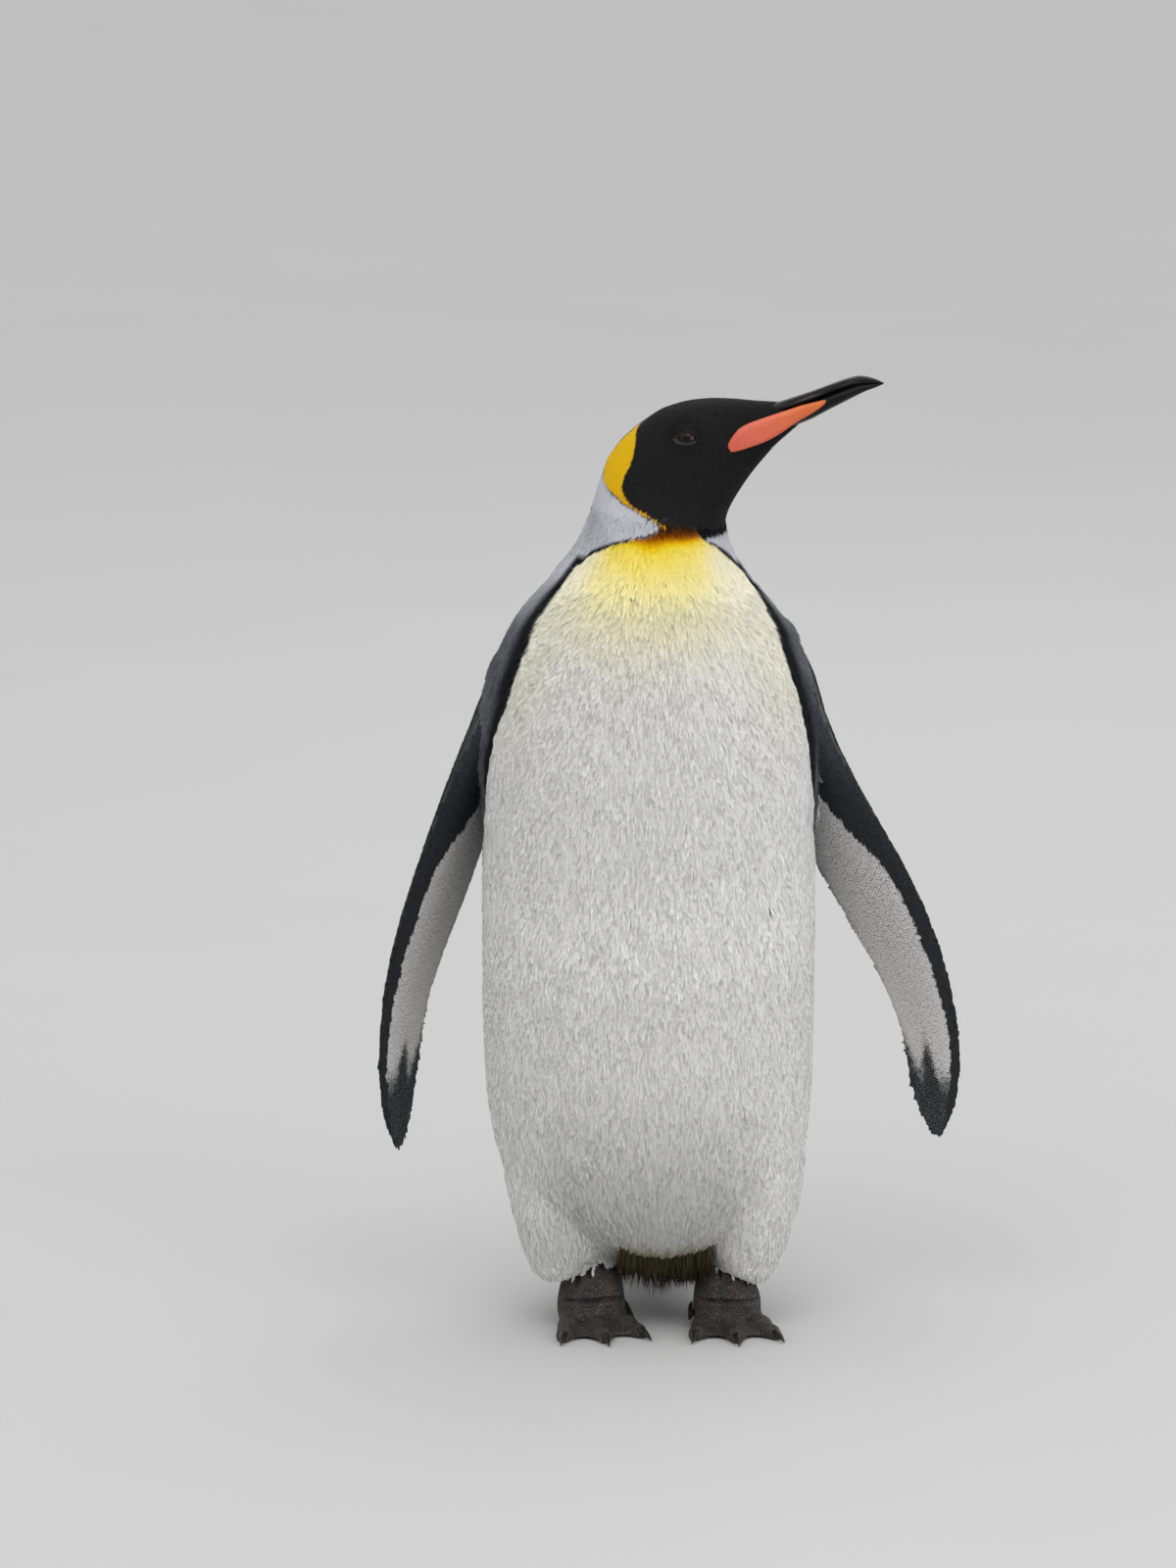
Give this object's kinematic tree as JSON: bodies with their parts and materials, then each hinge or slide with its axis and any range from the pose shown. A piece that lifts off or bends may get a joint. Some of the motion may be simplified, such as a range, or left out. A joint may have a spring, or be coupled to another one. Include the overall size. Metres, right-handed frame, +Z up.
{
  "type": "king penguin",
  "caption": "Life-size still model of a standing king penguin, head turned to its left, flippers hanging away from the body.",
  "frame": {"origin": "on the floor, under the middle of the whole bird's bounding box", "axes": "+Z up; the bird faces -Y and its left side is at +X; its head is turned towards +X"},
  "size_m": [0.4936, 0.2784, 0.8024],
  "materials": {
    "hood_plumage": "velvety black feathers",
    "nape_plumage": "fine silver-grey feathers",
    "front_plumage": "dense white feathers, gold at the throat",
    "back_plumage": "scaly slate-blue feathers",
    "flipper_plumage": "tiny stiff overlapping feathers",
    "tail_plumage": "stiff dark tail feathers",
    "beak_horn": "grooved black horn",
    "beak_plate": "smooth coral to orange plate",
    "eye": "wet dark brown",
    "foot_skin": "dark scaly skin",
    "claw_horn": "dull black horn"
  },
  "bodies": {
    "root": {"head": "hood_plumage", "neck": "nape_plumage", "upper_beak": "beak_horn", "lower_beak": "beak_horn", "beak_plate_right": "beak_plate", "beak_plate_left": "beak_plate", "eye_right": "eye", "eye_left": "eye", "breast": "front_plumage", "mantle": "back_plumage", "belly": "front_plumage", "rump": "back_plumage", "tail": "tail_plumage", "flipper_right": "flipper_plumage", "flipper_left": "flipper_plumage", "thigh_right": "front_plumage", "thigh_left": "front_plumage", "shank_right": "foot_skin", "shank_left": "foot_skin", "toe_inner_right": "foot_skin", "toe_middle_right": "foot_skin", "toe_outer_right": "foot_skin", "toe_inner_left": "foot_skin", "toe_middle_left": "foot_skin", "toe_outer_left": "foot_skin", "web_inner_right": "foot_skin", "web_outer_right": "foot_skin", "web_inner_left": "foot_skin", "web_outer_left": "foot_skin", "claw_inner_right": "claw_horn", "claw_middle_right": "claw_horn", "claw_outer_right": "claw_horn", "claw_inner_left": "claw_horn", "claw_middle_left": "claw_horn", "claw_outer_left": "claw_horn", "hind_claw_right": "claw_horn", "hind_claw_left": "claw_horn"}
  },
  "joints": []
}
